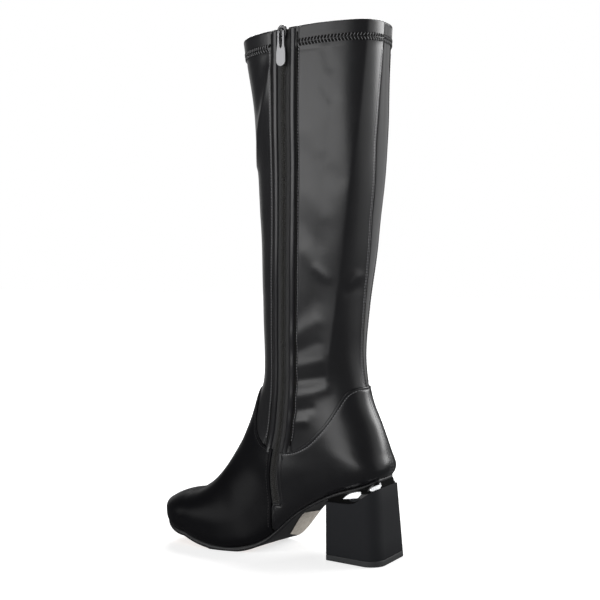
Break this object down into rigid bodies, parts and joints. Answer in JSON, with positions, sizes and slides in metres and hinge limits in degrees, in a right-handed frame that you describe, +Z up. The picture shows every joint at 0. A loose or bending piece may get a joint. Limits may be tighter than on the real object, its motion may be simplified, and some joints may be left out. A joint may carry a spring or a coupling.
{
  "type": "knee-high block-heel boot",
  "caption": "Knee-high smooth leather-look boot with an inner-side zip, stretch back panel, rounded toe and flared block heel.",
  "frame": {"origin": "on the ground under the middle of the boot's bounding box", "axes": "+X from heel to toe, +Y to the wearer's inner side, +Z up the shaft"},
  "size_m": [0.229, 0.1003, 0.4635],
  "materials": {
    "shaft_leather": "smooth semi-matte black stretch synthetic leather",
    "foot_leather": "smooth semi-matte black synthetic leather",
    "zip_plastic": "black coil zip on woven tape",
    "slider_metal": "black enamelled slider",
    "pull_metal": "satin grey metal",
    "insole_fabric": "dark padded sock lining",
    "sole_plastic": "black edge and waist, tan forepart tread underneath",
    "seat_gloss": "gloss black",
    "core_mirror": "bright polished insert seen in the gap over the heel block",
    "heel_matte": "matte black covered heel block",
    "lift_rubber": "dark grey-black top lift"
  },
  "bodies": {
    "boot": {"shaft": "shaft_leather", "upper": "shaft_leather", "vamp": "foot_leather", "counter": "foot_leather", "zip_facing_front": "foot_leather", "zip_facing_back": "foot_leather", "zip_chain": "zip_plastic", "zip_slider": "slider_metal", "insole": "insole_fabric", "outsole": "sole_plastic", "heel_seat": "seat_gloss", "heel_core": "core_mirror", "heel_block": "heel_matte", "top_lift": "lift_rubber"},
    "zip_pull": {"zip_pull": "pull_metal"}
  },
  "joints": [
    {"name": "pull_swing", "type": "hinge", "parent": "boot", "child": "zip_pull", "pos_m": [-0.03206, 0.04764, 0.4555], "axis": [0.9985, -0.0552, 0], "range_deg": [0, 160]}
  ]
}
